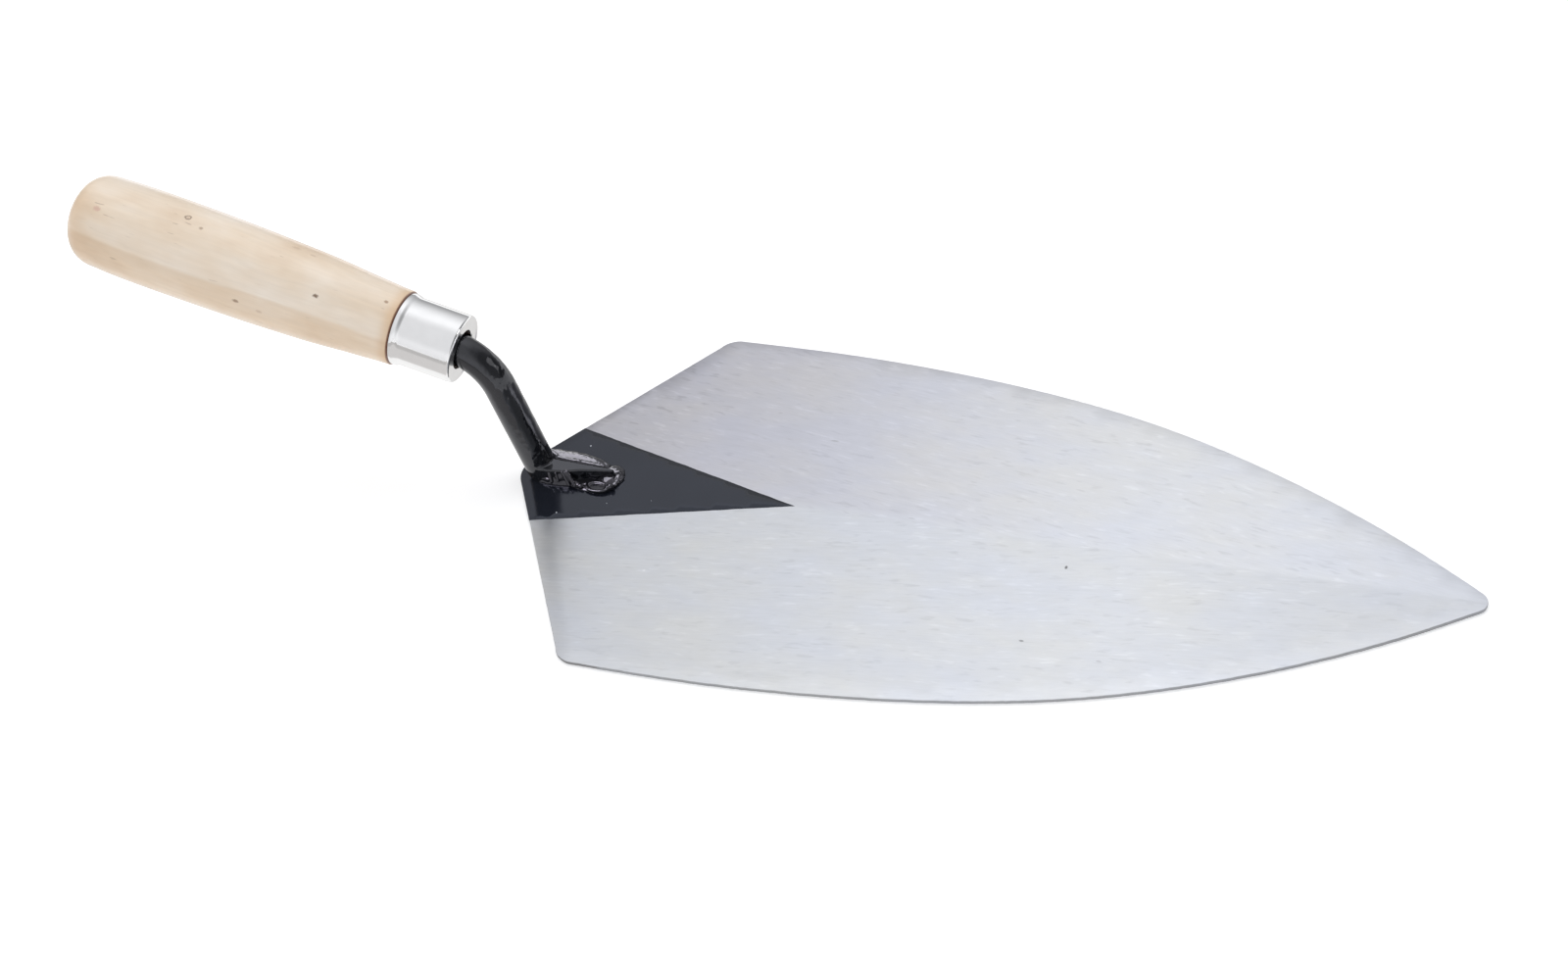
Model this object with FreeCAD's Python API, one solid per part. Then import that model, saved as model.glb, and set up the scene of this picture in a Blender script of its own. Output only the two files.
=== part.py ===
import FreeCAD, Part
import math
import os

# Brick trowel: forged 11 in x 5 1/2 in blade, welded-on bent shank, ferrule and
# turned wooden handle.  Millimetres, +X towards the tip of the blade, +Y to the
# left of a user who looks towards the tip, +Z up from the blade's underside.
# The model is built with the heel corner of the blade at the origin and is moved
# at the end, so that the origin is the middle of the overall box, at its bottom.

# ---------------------------------------------------------------- dimensions
# blade
blade_length = 279.4          # heel corner (sharp) to tip, 11 in
blade_width = 139.9           # widest place, 5 1/2 in
blade_thick = 1.2
heel_slope = 0.6445           # dx/dy of the two straight heel edges
heel_corner_x = 45.2          # where a heel edge meets the side curve
heel_radius = 9.5             # rounding of the heel point under the shank
corner_radius = 7.0           # rounding of the two wide corners
tip_radius = 4.0              # rounding of the tip
tip_vertex_x = 281.6          # where the side curves would cross
edge_round = 0.25             # broken edge all round the blade
# half widths of the blade along its length, corner to tip
side_curve = [(60.0, 69.95), (80.0, 69.5), (100.0, 68.3), (120.0, 66.3),
              (140.0, 63.5), (160.0, 59.65), (180.0, 54.5), (200.0, 47.5),
              (220.0, 38.7), (240.0, 28.2), (260.0, 15.75)]

# shank: one round bar, tang + neck + forged foot
bar_radius = 4.76             # 3/8 in bar
rim_x = -24.07                # centre of the ferrule's back rim
rim_z = 50.98 + blade_thick
handle_tilt = 17.2            # degrees, handle rises towards the butt
neck_straight = 14.6          # ferrule rim to the start of the neck bend
neck_bend_radius = 18.8
neck_bend_angle = 61.8        # degrees
foot_top_back = 5.2           # height of the foot above the blade, at the neck
foot_top_toe = 4.1            # and at the toe
foot_half_back = 4.3
foot_half_toe = 3.1
foot_toe_x = 33.2             # front end of the foot
heel_wrap = 4.0               # rounding of the bar's outside where it turns forward
tang_parallel = 8.0           # tang keeps the bar's size this far behind the rim
tang_tip_radius = 2.4
tang_length = 64.0            # behind the ferrule's rim

# ferrule: drawn cup, closed at the front around a hole for the bar
ferrule_length = 19.0
ferrule_radius = 10.3
ferrule_flare = 10.85         # back rim
ferrule_wall = 0.8
ferrule_shoulder = 1.5        # outside rounding at the front
ferrule_hole = 5.95
ferrule_dish = 0.5            # front face lies this far behind the front edge

# handle
handle_length = 105.8         # wood behind the ferrule's rim
tenon_length = 13.0           # wood inside the ferrule
butt_round = 10.8             # axial length of the rounding at the butt
# outside radius of the wood, distance behind the ferrule's rim
wood_profile = [(0.5, 11.28), (4.0, 11.45), (8.0, 11.75), (14.0, 12.15),
                (24.0, 12.95), (36.0, 13.55), (48.0, 13.98), (60.0, 14.22),
                (72.0, 14.36), (84.0, 14.35), (92.0, 14.15), (95.0, 13.98)]

V = FreeCAD.Vector
os.makedirs("parts", exist_ok=True)


def bspline(points, start=None, end=None):
    c = Part.BSplineCurve()
    if start is not None:
        c.interpolate(Points=points, InitialTangent=start, FinalTangent=end)
    else:
        c.interpolate(Points=points)
    return c


# --------------------------------------------------------------------- blade
def make_blade():
    half = heel_corner_x / heel_slope
    left = [V(heel_corner_x, half, 0)]
    left += [V(x, y, 0) for x, y in side_curve]
    left += [V(tip_vertex_x, 0, 0)]
    right = [V(p.x, -p.y, 0) for p in left]
    e1 = Part.LineSegment(V(0, 0, 0), left[0]).toShape()
    e2 = bspline(left).toShape()
    e3 = bspline(list(reversed(right))).toShape()
    e4 = Part.LineSegment(right[0], V(0, 0, 0)).toShape()
    wire = Part.Wire([e1, e2, e3, e4])
    plate = Part.Face(wire).extrude(V(0, 0, blade_thick))

    def upright(x, y):
        for e in plate.Edges:
            b = e.BoundBox
            if (b.ZLength > blade_thick * 0.9 and abs(b.XMin - x) < 0.01
                    and abs(b.XMax - x) < 0.01 and abs(b.YMin - y) < 0.01
                    and abs(b.YMax - y) < 0.01):
                return e
        raise RuntimeError("no upright edge at %s,%s" % (x, y))

    for x, y, r in ((0, 0, heel_radius), (heel_corner_x, half, corner_radius),
                    (heel_corner_x, -half, corner_radius),
                    (tip_vertex_x, 0, tip_radius)):
        plate = plate.makeFillet(r, [upright(x, y)])
    rim = [e for e in plate.Edges if e.BoundBox.ZLength < 1e-4]
    return plate.makeFillet(edge_round, rim).Solids[0]


# --------------------------------------------------- frame of the handle axis
tilt = math.radians(handle_tilt)
axis_dir = V(math.cos(tilt), 0, -math.sin(tilt))     # towards the blade
axis_up = V(math.sin(tilt), 0, math.cos(tilt))
rim = V(rim_x, 0, rim_z)


def on_axis(a, r=0.0):
    """Point at distance a in front of the ferrule's rim, r above the axis."""
    return rim + axis_dir * a + axis_up * r


def turned(outline):
    """Solid of revolution about the handle axis from (a, r) edges."""
    return Part.Face(Part.Wire(outline)).revolve(rim, axis_dir, 360)


def line(p, q):
    return Part.LineSegment(on_axis(*p), on_axis(*q)).toShape()


def arc(p, m, q):
    return Part.Arc(on_axis(*p), on_axis(*m), on_axis(*q)).toShape()


# --------------------------------------------------------------------- shank
def make_shank():
    down = math.radians(handle_tilt + neck_bend_angle)
    start = on_axis(neck_straight)
    centre = start - axis_up * neck_bend_radius

    def bend(a):
        return centre + V(math.sin(a), 0, math.cos(a)) * neck_bend_radius

    mid = bend((tilt + down) / 2)
    end = bend(down)
    low_dir = V(math.cos(down), 0, -math.sin(down))
    run = (end.z - blade_thick) / math.sin(down) + 6.0
    low = end + low_dir * run
    path = Part.Wire([
        Part.LineSegment(on_axis(-1.0), start).toShape(),
        Part.Arc(start, mid, end).toShape(),
        Part.LineSegment(end, low).toShape()])
    ring = Part.Wire([Part.Circle(on_axis(-1.0), axis_dir, bar_radius).toShape()])
    neck = path.makePipeShell([ring], True, False)
    # tang: same bar, then a long taper to a blunt point
    tang = turned([
        line((-1.0, 0), (-1.0, bar_radius)),
        line((-1.0, bar_radius), (-tang_parallel, bar_radius)),
        line((-tang_parallel, bar_radius), (-tang_length, tang_tip_radius)),
        line((-tang_length, tang_tip_radius), (-tang_length - 2.0, 0.8)),
        line((-tang_length - 2.0, 0.8), (-tang_length - 2.0, 0)),
        line((-tang_length - 2.0, 0), (-1.0, 0))])
    # the bar ends on the blade, and its outside is rounded where it turns forward
    keep = Part.makeBox(400, 60, 200, V(-200, -30, blade_thick))
    neck = neck.common(keep)
    foot_x = end.x + low_dir.x * (end.z - blade_thick) / math.sin(down)
    back_x = foot_x - bar_radius
    r = heel_wrap
    corner = Part.makeBox(r + 4, 40, r, V(back_x - 4, -20, blade_thick))
    roll = Part.makeCylinder(r, 40, V(back_x + r, -20, blade_thick + r), V(0, 1, 0))
    neck = neck.cut(corner.cut(roll))
    # forged foot: a tapered tongue with a round toe
    t0 = blade_thick
    x0 = foot_x - 1.0
    xt = foot_toe_x - foot_half_toe
    plan = Part.Wire([
        Part.LineSegment(V(x0, -foot_half_back, t0), V(xt, -foot_half_toe, t0)).toShape(),
        Part.Arc(V(xt, -foot_half_toe, t0), V(foot_toe_x, 0, t0), V(xt, foot_half_toe, t0)).toShape(),
        Part.LineSegment(V(xt, foot_half_toe, t0), V(x0, foot_half_back, t0)).toShape(),
        Part.LineSegment(V(x0, foot_half_back, t0), V(x0, -foot_half_back, t0)).toShape()])
    tongue = Part.Face(plan).extrude(V(0, 0, 12))
    side = Part.makePolygon([
        V(x0 - 5, -20, t0 - 1), V(foot_toe_x + 5, -20, t0 - 1),
        V(foot_toe_x + 5, -20, t0 + foot_top_toe - 0.3),
        V(x0 - 5, -20, t0 + foot_top_back + 0.4), V(x0 - 5, -20, t0 - 1)])
    tongue = tongue.common(Part.Face(side).extrude(V(0, 40, 0)))
    tops = [e for e in tongue.Edges
            if e.BoundBox.ZMin > t0 + 2.5 and e.BoundBox.XMax > foot_x + 2]
    try:
        tongue = tongue.makeFillet(0.9, tops)
    except Exception:
        pass
    bar = neck.fuse([tongue]).fuse([tang]).removeSplitter()
    if len(bar.Solids) != 1:
        raise RuntimeError("shank has %d solids" % len(bar.Solids))
    return bar.Solids[0], foot_x


# --------------------------------------------------------------------- welds
def lens(cx, cy, rx, ry, rz, turn=0.0):
    """Upper half of an ellipsoid that stands on the blade."""
    ball = Part.makeSphere(1.0)
    m = FreeCAD.Matrix()
    m.scale(rx, ry, rz)
    s = ball.transformGeometry(m)
    s.rotate(V(0, 0, 0), V(0, 0, 1), turn)
    s.translate(V(cx, cy, blade_thick))
    return s.common(Part.makeBox(200, 100, 40, V(-60, -50, blade_thick)))


def biggest(shape):
    return sorted(shape.Solids, key=lambda s: s.Volume)[-1]


# ------------------------------------------------------------------- ferrule
def make_ferrule():
    L, R, F = ferrule_length, ferrule_radius, ferrule_flare
    w, s, h, g = ferrule_wall, ferrule_shoulder, ferrule_hole, ferrule_dish
    k = math.sqrt(0.5)
    ri = R - w
    return turned([
        arc((0.0, F - 0.45), (0.12, F - 0.1), (0.45, F)),
        line((0.45, F), (0.9, F)),
        arc((0.9, F), (1.75, R + (F - R) * 0.32), (2.9, R)),
        line((2.9, R), (L - s, R)),
        arc((L - s, R), (L - s + s * k, R - s + s * k), (L, R - s)),
        arc((L, R - s), (L - 0.12, R - s - 0.35), (L - g, R - s - 0.7)),
        line((L - g, R - s - 0.7), (L - g, h + 0.3)),
        arc((L - g, h + 0.3), (L - g - 0.09, h + 0.09), (L - g - 0.3, h)),
        line((L - g - 0.3, h), (L - g - w, h)),
        line((L - g - w, h), (L - g - w, ri - 0.9)),
        arc((L - g - w, ri - 0.9), (L - g - w - 0.26, ri - 0.26), (L - g - w - 0.9, ri)),
        line((L - g - w - 0.9, ri), (0.0, ri)),
        line((0.0, ri), (0.0, F - 0.45))])


# -------------------------------------------------------------------- handle
def make_handle(tang):
    ri = ferrule_radius - ferrule_wall
    pts = [on_axis(-t, r) for t, r in wood_profile]
    body = bspline(pts)
    t0, r0 = wood_profile[0]
    tb, rb = wood_profile[-1]
    # rounded butt: a superellipse sampled from the last profile point to the axis
    butt = []
    n = 9
    for i in range(n + 1):
        u = math.pi / 2 * i / n
        a = tb + (handle_length - tb) * math.sin(u) ** (2 / 2.5)
        r = rb * max(math.cos(u), 0.0) ** (2 / 2.5)
        butt.append(on_axis(-a, r if i < n else 0.0))
    slope = body.tangent(body.LastParameter)[0]
    tail = Part.BSplineCurve()
    tail.interpolate(Points=butt, InitialTangent=slope * 6, FinalTangent=axis_up * -6)
    solid = turned([
        line((tenon_length, 0), (tenon_length, ri - 0.5)),
        line((tenon_length, ri - 0.5), (tenon_length - 0.5, ri)),
        line((tenon_length - 0.5, ri), (0.0, ri)),
        line((0.0, ri), (0.0, r0 - 0.4)),
        line((0.0, r0 - 0.4), (-t0, r0)),
        body.toShape(), tail.toShape(),
        line((-handle_length, 0), (tenon_length, 0))])
    return biggest(solid.cut(tang))


blade = make_blade()
shank, foot_x = make_shank()
ferrule = make_ferrule()
handle = make_handle(shank)

y_left = foot_half_back - 0.4
weld_left = lens(18.3, y_left, 13.0, 4.3, 4.3, -4.0).cut(shank)
weld_left = biggest(weld_left.common(
    Part.makeBox(80, 30, 20, V(-20, 0.5, 0))))
weld_right = lens(18.8, -foot_half_back + 0.6, 14.6, 2.7, 2.5, 2.0).cut(shank)
weld_right = biggest(weld_right.common(
    Part.makeBox(80, 30, 20, V(-20, -30.5, 0))))
weld_toe = lens(foot_toe_x - 1.6, 0.4, 3.9, 5.2, 2.1)
weld_toe = biggest(weld_toe.cut(shank).cut(weld_left).cut(weld_right))

nodes = {
    "blade": blade,
    "shank": shank,
    "weld_bead_left": weld_left,
    "weld_bead_right": weld_right,
    "weld_bead_toe": weld_toe,
    "ferrule": ferrule,
    "handle": handle,
}

# the origin goes to the middle of the overall box, at its bottom
box = Part.makeCompound(list(nodes.values())).optimalBoundingBox(False)
shift = V(-(box.XMin + box.XMax) / 2, -(box.YMin + box.YMax) / 2, -box.ZMin)
print("shift", shift, "size", box.XLength, box.YLength, box.ZLength)
for name, shape in nodes.items():
    shape = shape.copy()
    shape.translate(shift)
    if len(shape.Solids) != 1:
        raise RuntimeError(name + " is not one solid")
    solid = shape.Solids[0]
    print("%-16s valid %s volume %.1f" % (name, solid.isValid(), solid.Volume))
    solid.exportStep("parts/" + name + ".step")
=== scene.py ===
import math

import bpy
import bmesh
import numpy as np
from mathutils import Matrix, Vector
from mathutils.geometry import delaunay_2d_cdt


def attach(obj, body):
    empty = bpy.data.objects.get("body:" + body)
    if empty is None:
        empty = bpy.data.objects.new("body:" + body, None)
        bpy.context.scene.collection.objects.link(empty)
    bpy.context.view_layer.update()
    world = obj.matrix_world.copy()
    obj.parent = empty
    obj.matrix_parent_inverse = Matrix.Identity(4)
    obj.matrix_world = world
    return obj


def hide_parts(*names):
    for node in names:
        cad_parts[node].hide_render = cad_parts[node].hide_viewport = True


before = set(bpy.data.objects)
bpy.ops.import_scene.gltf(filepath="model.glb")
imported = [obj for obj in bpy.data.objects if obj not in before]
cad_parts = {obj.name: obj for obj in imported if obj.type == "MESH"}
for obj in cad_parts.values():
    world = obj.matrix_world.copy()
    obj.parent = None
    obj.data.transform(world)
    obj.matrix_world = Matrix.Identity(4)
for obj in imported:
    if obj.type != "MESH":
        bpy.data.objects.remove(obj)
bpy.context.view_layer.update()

SCENE = bpy.context.scene
COLL = SCENE.collection

# ---------------------------------------------------------------------------
# Design frame: millimetres, heel corner of the blade at x = 0, underside at z = 0.
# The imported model's origin is the middle of the overall box.
# ---------------------------------------------------------------------------
SX = -76.31721
TH = 1.2                        # blade thickness
HEEL_SLOPE = 0.6445
CORNER_X = 45.2
TIP_X = 281.6
SIDE = [(60.0, 69.95), (80.0, 69.5), (100.0, 68.3), (120.0, 66.3),
        (140.0, 63.5), (160.0, 59.65), (180.0, 54.5), (200.0, 47.5),
        (220.0, 38.7), (240.0, 28.2), (260.0, 15.75)]
BAR_R = 4.76
RIM_X, RIM_Z = -24.07, 50.98 + TH
TILT = math.radians(17.2)
NECK_A, NECK_R, NECK_T = 14.6, 18.8, math.radians(61.8)
FER_L, FER_R, FER_F, FER_W = 19.0, 10.3, 10.85, 0.8
FER_HOLE, FER_DISH, FER_SHO = 5.95, 0.5, 1.5
HAND_L, TENON = 105.8, 13.0
WOOD = [(0.5, 11.28), (4.0, 11.45), (8.0, 11.75), (14.0, 12.15), (24.0, 12.95),
        (36.0, 13.55), (48.0, 13.98), (60.0, 14.22), (72.0, 14.36),
        (84.0, 14.35), (92.0, 14.15), (95.0, 13.98)]
AX = np.array([math.cos(TILT), 0.0, -math.sin(TILT)])   # towards the blade
UP = np.array([math.sin(TILT), 0.0, math.cos(TILT)])
RIM = np.array([RIM_X, 0.0, RIM_Z])


def to_frame(P):
    P = np.asarray(P, float)
    return (P + np.array([SX, 0.0, 0.0])) / 1000.0


# ---------------------------------------------------------------------------
# small numeric tools
# ---------------------------------------------------------------------------
def _hash(ix, iy, iz, seed):
    h = (ix.astype(np.int64) * 374761393 + iy.astype(np.int64) * 668265263
         + iz.astype(np.int64) * 2147483647 + seed * 974634777) & 0xFFFFFFFF
    h = ((h ^ (h >> 13)) * 1274126177) & 0xFFFFFFFF
    h = h ^ (h >> 16)
    return (h & 0xFFFF) / 32767.5 - 1.0


def vnoise(x, y, z, seed=0):
    """Smooth value noise in -1..1."""
    x, y, z = np.broadcast_arrays(x, y, z)
    fx, fy, fz = np.floor(x), np.floor(y), np.floor(z)
    u, v, w = x - fx, y - fy, z - fz
    u = u * u * u * (u * (u * 6 - 15) + 10)
    v = v * v * v * (v * (v * 6 - 15) + 10)
    w = w * w * w * (w * (w * 6 - 15) + 10)
    r = 0.0
    for i in (0, 1):
        for j in (0, 1):
            for k in (0, 1):
                wt = (u if i else 1 - u) * (v if j else 1 - v) * (w if k else 1 - w)
                r = r + wt * _hash(fx + i, fy + j, fz + k, seed)
    return r


def smin(a, b, k):
    h = np.clip(0.5 + 0.5 * (b - a) / k, 0, 1)
    return b + (a - b) * h - k * h * (1 - h)


def smax(a, b, k):
    return -smin(-a, -b, k)


def surface_nets(fn, lo, hi, h, steps=4):
    """Closed quad mesh of fn(x, y, z) = 0, then pulled on to the exact surface."""
    lo = np.array(lo, float)
    n = [int(math.ceil((hi[i] - lo[i]) / h)) + 1 for i in range(3)]
    xs = lo[0] + h * np.arange(n[0])
    ys = lo[1] + h * np.arange(n[1])
    zs = lo[2] + h * np.arange(n[2])
    F = np.empty(n, np.float32)
    step = max(1, int(600000 // (n[1] * n[2])))
    Y, Z = np.meshgrid(ys, zs, indexing="ij")
    for i in range(0, n[0], step):
        X = xs[i:i + step][:, None, None]
        F[i:i + step] = fn(X + 0 * Y, Y + 0 * X, Z + 0 * X)
    S = F < 0
    cnt = np.zeros([m - 1 for m in n], np.int8)
    corners = [(a, b, c) for a in (0, 1) for b in (0, 1) for c in (0, 1)]
    for a, b, c in corners:
        cnt += S[a:n[0] - 1 + a, b:n[1] - 1 + b, c:n[2] - 1 + c]
    act = (cnt > 0) & (cnt < 8)
    I = np.argwhere(act)
    idx = np.full(act.shape, -1, np.int64)
    idx[act] = np.arange(len(I))
    val = {c: F[I[:, 0] + c[0], I[:, 1] + c[1], I[:, 2] + c[2]] for c in corners}
    P = np.zeros((len(I), 3))
    m = np.zeros(len(I))
    for c in corners:
        for ax in range(3):
            if c[ax] == 0:
                d = list(c); d[ax] = 1; d = tuple(d)
                v0, v1 = val[c], val[d]
                s = (v0 < 0) != (v1 < 0)
                t = np.where(s, v0 / np.where(s, v0 - v1, 1), 0)
                q = np.array(c, float)[None, :] + t[:, None] * (np.array(d, float) - np.array(c, float))
                P += np.where(s[:, None], q, 0)
                m += s
    P = lo + h * (I + P / m[:, None])
    quads = []
    for ax in range(3):
        b, c = [(1, 2), (2, 0), (0, 1)][ax]
        sl0 = [slice(1, -1)] * 3
        sl1 = [slice(1, -1)] * 3
        sl0[ax] = slice(0, -1)
        sl1[ax] = slice(1, None)
        s0, s1 = S[tuple(sl0)], S[tuple(sl1)]
        q = np.argwhere(s0 != s1)
        if len(q) == 0:
            continue
        inside = s0[q[:, 0], q[:, 1], q[:, 2]]
        q = q + 1
        q[:, ax] -= 1

        def cell(db, dc):
            r = q.copy()
            r[:, b] += db
            r[:, c] += dc
            return idx[r[:, 0], r[:, 1], r[:, 2]]
        Q = np.stack([cell(-1, -1), cell(0, -1), cell(0, 0), cell(-1, 0)], 1)
        Q[~inside] = Q[~inside][:, ::-1]
        quads.append(Q)
    Q = np.concatenate(quads)
    e = h * 0.05
    for _ in range(steps):
        f0 = fn(P[:, 0], P[:, 1], P[:, 2])
        g = np.stack([fn(P[:, 0] + e * (i == 0), P[:, 1] + e * (i == 1), P[:, 2] + e * (i == 2)) -
                      fn(P[:, 0] - e * (i == 0), P[:, 1] - e * (i == 1), P[:, 2] - e * (i == 2))
                      for i in range(3)], 1) / (2 * e)
        s = f0 / np.maximum((g * g).sum(1), 0.05)
        mv = -g * s[:, None]
        ln = np.linalg.norm(mv, axis=1)
        mv *= np.minimum(1.0, 0.45 * h / np.maximum(ln, 1e-9))[:, None]
        P = P + mv
    return main_body(P, Q)


def main_body(P, Q):
    """Keep the largest connected body only."""
    lab = np.arange(len(P))
    while True:
        m = lab[Q].min(1)
        new = lab.copy()
        for k in range(Q.shape[1]):
            np.minimum.at(new, Q[:, k], m)
        new = new[new]
        if (new == lab).all():
            break
        lab = new
    ids, cnt = np.unique(lab[Q[:, 0]], return_counts=True)
    keep = lab == ids[np.argmax(cnt)]
    to = np.cumsum(keep) - 1
    return P[keep], to[Q[keep[Q[:, 0]]]]


def mesh_object(name, verts_mm, faces, smooth=True, sharp=None):
    me = bpy.data.meshes.new(name)
    V = to_frame(verts_mm)
    me.vertices.add(len(V))
    me.vertices.foreach_set("co", V.astype(np.float32).ravel())
    if isinstance(faces, np.ndarray):
        n, k = faces.shape
        me.loops.add(n * k)
        me.loops.foreach_set("vertex_index", faces.astype(np.int32).ravel())
        me.polygons.add(n)
        me.polygons.foreach_set("loop_start", (np.arange(n) * k).astype(np.int32))
        me.update(calc_edges=True)
    else:
        flat = [i for f in faces for i in f]
        me.loops.add(len(flat))
        me.loops.foreach_set("vertex_index", flat)
        me.polygons.add(len(faces))
        st = np.cumsum([0] + [len(f) for f in faces[:-1]]).astype(np.int32)
        me.polygons.foreach_set("loop_start", st)
        me.update(calc_edges=True)
    me.validate()
    if smooth:
        me.polygons.foreach_set("use_smooth", [True] * len(me.polygons))
        if sharp is not None:
            me.set_sharp_from_angle(angle=math.radians(sharp))
    o = bpy.data.objects.new(name, me)
    COLL.objects.link(o)
    return o


def lathe(name, prof, seg, closed=True, wobble=None, sharp=30):
    """Body of revolution about the handle axis; prof is (a, r), a in front of the rim."""
    prof = [tuple(p) for p in prof]
    verts, rows = [], []
    for a, r in prof:
        if r < 1e-6:
            rows.append([len(verts)])
            verts.append(RIM + AX * a)
        else:
            row = []
            for i in range(seg):
                t = 2 * math.pi * i / seg
                rr = r if wobble is None else r + wobble(a, t, r)
                d = UP * math.cos(t) + np.array([0.0, 1.0, 0.0]) * math.sin(t)
                row.append(len(verts))
                verts.append(RIM + AX * a + d * rr)
            rows.append(row)
    faces = []
    m = len(rows)
    for j in range(m if closed else m - 1):
        A, B = rows[j], rows[(j + 1) % m]
        for i in range(seg):
            k = (i + 1) % seg
            if len(A) == 1 and len(B) == 1:
                break
            if len(A) == 1:
                faces.append((A[0], B[k], B[i]))
            elif len(B) == 1:
                faces.append((A[i], A[k], B[0]))
            else:
                faces.append((A[i], A[k], B[k], B[i]))
    o = mesh_object(name, np.array(verts), faces, sharp=sharp)
    bm = bmesh.new()
    bm.from_mesh(o.data)
    bmesh.ops.recalc_face_normals(bm, faces=bm.faces)
    bm.to_mesh(o.data)
    bm.free()
    o.data.polygons.foreach_set("use_smooth", [True] * len(o.data.polygons))
    if sharp is not None:
        o.data.set_sharp_from_angle(angle=math.radians(sharp))
    return o


def arc_pts(c, r, a0, a1, n):
    return [(c[0] + r * math.cos(a0 + (a1 - a0) * i / n), c[1] + r * math.sin(a0 + (a1 - a0) * i / n))
            for i in range(n + 1)]


def cubic(points, n):
    """Chord-length natural cubic through 2-D points, n samples per span."""
    P = np.array(points, float)
    t = np.r_[0, np.cumsum(np.hypot(*np.diff(P, axis=0).T))]
    m = len(P)
    A = np.zeros((m, m)); B = np.zeros((m, 2)); hh = np.diff(t)
    A[0, 0] = A[-1, -1] = 1
    for i in range(1, m - 1):
        A[i, i - 1], A[i, i], A[i, i + 1] = hh[i - 1], 2 * (hh[i - 1] + hh[i]), hh[i]
        B[i] = 6 * ((P[i + 1] - P[i]) / hh[i] - (P[i] - P[i - 1]) / hh[i - 1])
    M = np.linalg.solve(A, B)
    out = []
    for i in range(m - 1):
        for k in range(n):
            s = t[i] + hh[i] * k / n
            a, b = (t[i + 1] - s), (s - t[i])
            out.append(M[i] * a ** 3 / (6 * hh[i]) + M[i + 1] * b ** 3 / (6 * hh[i])
                       + (P[i] / hh[i] - M[i] * hh[i] / 6) * a + (P[i + 1] / hh[i] - M[i + 1] * hh[i] / 6) * b)
    out.append(P[-1])
    return np.array(out)


# ---------------------------------------------------------------------------
# materials
# ---------------------------------------------------------------------------
class Mat:
    def __init__(self, name):
        self.m = bpy.data.materials.new(name)
        self.m.use_nodes = True
        self.t = self.m.node_tree
        self.t.nodes.clear()
        self.out = self.t.nodes.new("ShaderNodeOutputMaterial")
        self.b = self.t.nodes.new("ShaderNodeBsdfPrincipled")
        self.t.links.new(self.b.outputs[0], self.out.inputs[0])
        self.pos = self.node("ShaderNodeTexCoord").outputs["Object"]

    def node(self, kind, **kw):
        n = self.t.nodes.new(kind)
        for k, v in kw.items():
            setattr(n, k, v)
        return n

    def link(self, a, b):
        self.t.links.new(a, b)

    def set(self, **kw):
        for k, v in kw.items():
            self.b.inputs[k.replace("_", " ")].default_value = v

    def put(self, sock, v):
        if isinstance(v, bpy.types.NodeSocket):
            self.link(v, sock)
        else:
            sock.default_value = v

    def math(self, op, a, b=None, c=None, clamp=False):
        n = self.node("ShaderNodeMath", operation=op, use_clamp=clamp)
        self.put(n.inputs[0], a)
        if b is not None:
            self.put(n.inputs[1], b)
        if c is not None:
            self.put(n.inputs[2], c)
        return n.outputs[0]

    def vmath(self, op, a, b=None, scale=None):
        n = self.node("ShaderNodeVectorMath", operation=op)
        self.put(n.inputs[0], a)
        if b is not None:
            self.put(n.inputs[1], b)
        if scale is not None:
            self.put(n.inputs["Scale"], scale)
        return n.outputs["Value"] if op in ("LENGTH", "DOT_PRODUCT", "DISTANCE") else n.outputs[0]

    def xyz(self, v):
        n = self.node("ShaderNodeSeparateXYZ")
        self.put(n.inputs[0], v)
        return n.outputs[0], n.outputs[1], n.outputs[2]

    def comb(self, x, y, z):
        n = self.node("ShaderNodeCombineXYZ")
        for s, v in zip(n.inputs, (x, y, z)):
            self.put(s, v)
        return n.outputs[0]

    def noise(self, vec, scale, detail=2.0, rough=0.5, distortion=0.0, color=False):
        n = self.node("ShaderNodeTexNoise")
        self.put(n.inputs["Vector"], vec)
        n.inputs["Scale"].default_value = scale
        n.inputs["Detail"].default_value = detail
        n.inputs["Roughness"].default_value = rough
        n.inputs["Distortion"].default_value = distortion
        return n.outputs["Color"] if color else n.outputs[0]

    def ramp(self, f, stops, interp="LINEAR"):
        n = self.node("ShaderNodeValToRGB")
        n.color_ramp.interpolation = interp
        e = n.color_ramp.elements
        while len(e) < len(stops):
            e.new(0.5)
        for el, (p, c) in zip(e, stops):
            el.position = p
            el.color = (c, c, c, 1) if isinstance(c, (int, float)) else (*c, 1)
        self.put(n.inputs[0], f)
        return n.outputs[0]

    def range(self, v, a, b, c, d, smooth=False):
        n = self.node("ShaderNodeMapRange")
        if smooth:
            n.interpolation_type = "SMOOTHSTEP"
        self.put(n.inputs[0], v)
        for i, q in enumerate((a, b, c, d)):
            self.put(n.inputs[1 + i], q)
        return n.outputs[0]

    def mix(self, f, a, b, mode="MIX"):
        n = self.node("ShaderNodeMix", data_type="RGBA", blend_type=mode)
        self.put(n.inputs[0], f)
        self.put(n.inputs[6], a if not isinstance(a, tuple) else (*a, 1) if len(a) == 3 else a)
        self.put(n.inputs[7], b if not isinstance(b, tuple) else (*b, 1) if len(b) == 3 else b)
        return n.outputs[2]

    def bump(self, h, strength, dist, normal=None):
        n = self.node("ShaderNodeBump")
        n.inputs["Strength"].default_value = strength
        n.inputs["Distance"].default_value = dist
        self.put(n.inputs["Height"], h)
        if normal is not None:
            self.link(normal, n.inputs["Normal"])
        return n.outputs[0]


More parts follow.
